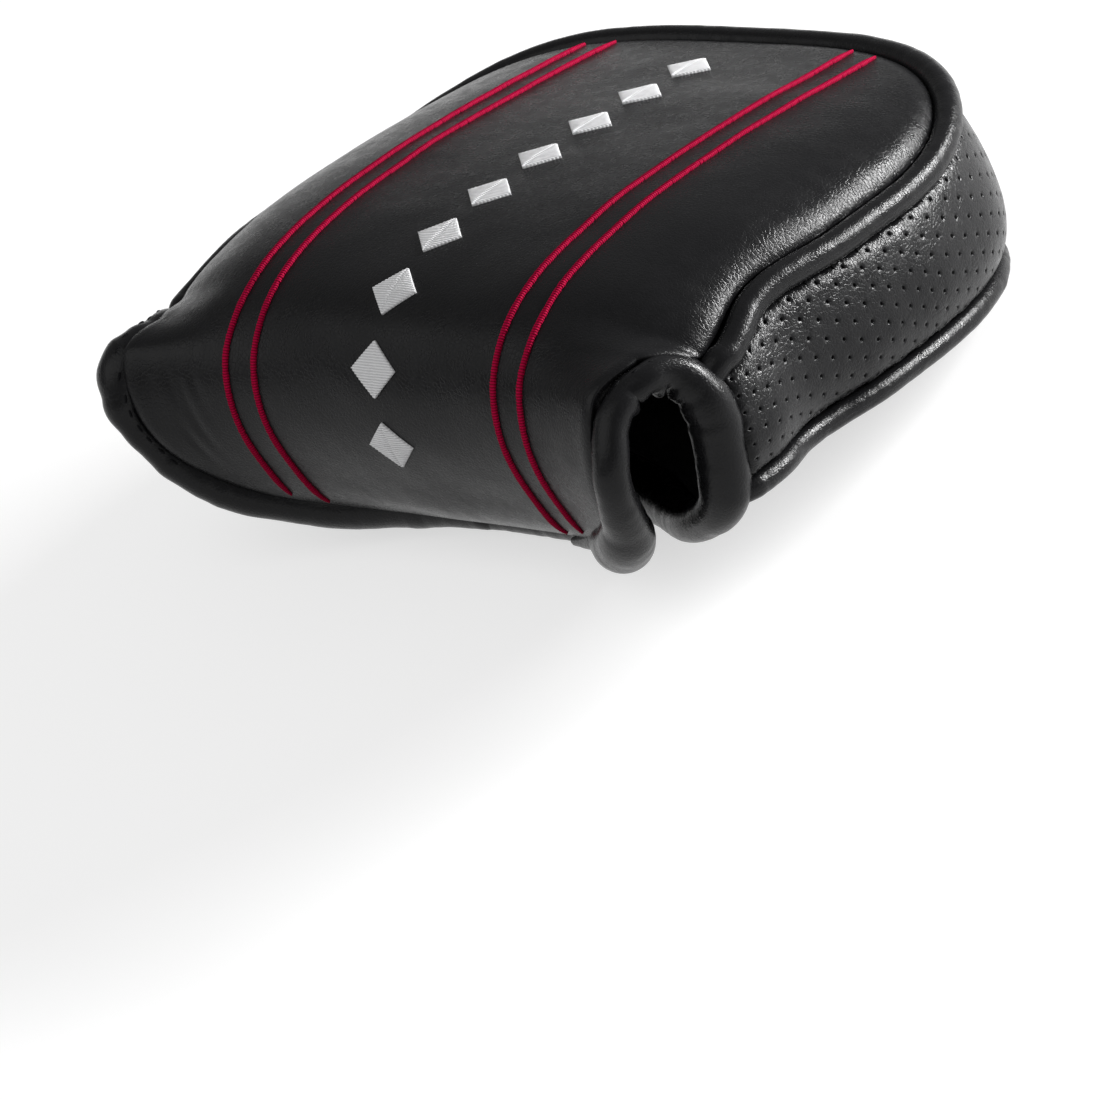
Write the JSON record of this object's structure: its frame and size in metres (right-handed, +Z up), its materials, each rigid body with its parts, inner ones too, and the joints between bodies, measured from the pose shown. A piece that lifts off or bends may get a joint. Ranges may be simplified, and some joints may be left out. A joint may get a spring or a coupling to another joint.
{
  "type": "putter head cover",
  "caption": "Padded leather cover for a mallet putter head: piped top, perforated side wall, rolled mouth cuff, sprung front flap with magnets in its lip.",
  "frame": {"origin": "middle of the bottom of the part's box, on the surface it rests on", "axes": "+Z up, +Y to the rounded back, +X to the toe end; the mouth and the front flap face -Y"},
  "size_m": [0.1214, 0.1204, 0.0519],
  "materials": {
    "black_leather": "satin, fine grain",
    "perforated_leather": "satin, rows of small holes",
    "piping_leather": "satin, tight roll",
    "grey_foam": "open-cell foam",
    "dark_fleece": "brushed pile",
    "red_thread": "satin stitch",
    "white_thread": "satin stitch",
    "nickel_plate": "nickel plated"
  },
  "bodies": {
    "root": {"bottom_foam": "grey_foam", "bottom_lining": "dark_fleece", "bottom_panel": "black_leather", "lower_piping": "piping_leather", "rear_cuff": "black_leather", "rear_cuff_foam_heel": "grey_foam", "rear_cuff_foam_middle": "grey_foam", "rear_cuff_foam_toe": "grey_foam", "rear_magnet_heel": "nickel_plate", "rear_magnet_toe": "nickel_plate", "side_foam": "grey_foam", "side_lining": "dark_fleece", "side_panel": "perforated_leather", "top_diamond_1": "white_thread", "top_diamond_2": "white_thread", "top_diamond_3": "white_thread", "top_diamond_4": "white_thread", "top_diamond_5": "white_thread", "top_diamond_6": "white_thread", "top_diamond_7": "white_thread", "top_foam": "grey_foam", "top_lining": "dark_fleece", "top_panel": "black_leather", "top_stripe_heel_inner": "red_thread", "top_stripe_heel_outer": "red_thread", "top_stripe_toe_inner": "red_thread", "top_stripe_toe_outer": "red_thread", "upper_piping": "piping_leather"},
    "front_flap": {"front_cuff": "black_leather", "front_cuff_foam_heel": "grey_foam", "front_cuff_foam_middle": "grey_foam", "front_cuff_foam_toe": "grey_foam", "front_diamond_1": "white_thread", "front_diamond_2": "white_thread", "front_foam": "grey_foam", "front_lining": "dark_fleece", "front_magnet_heel": "nickel_plate", "front_magnet_toe": "nickel_plate", "front_panel": "black_leather", "front_stripe_heel_inner": "red_thread", "front_stripe_heel_outer": "red_thread", "front_stripe_toe_inner": "red_thread", "front_stripe_toe_outer": "red_thread"}
  },
  "joints": [
    {"name": "front_flap_hinge", "type": "hinge", "parent": "root", "child": "front_flap", "pos_m": [0, -0.04414, 0.0477], "axis": [-1, 0, 0], "range_deg": [0, 75], "stiffness_Nm_per_rad": 0.03, "springref_deg": -8.59}
  ]
}
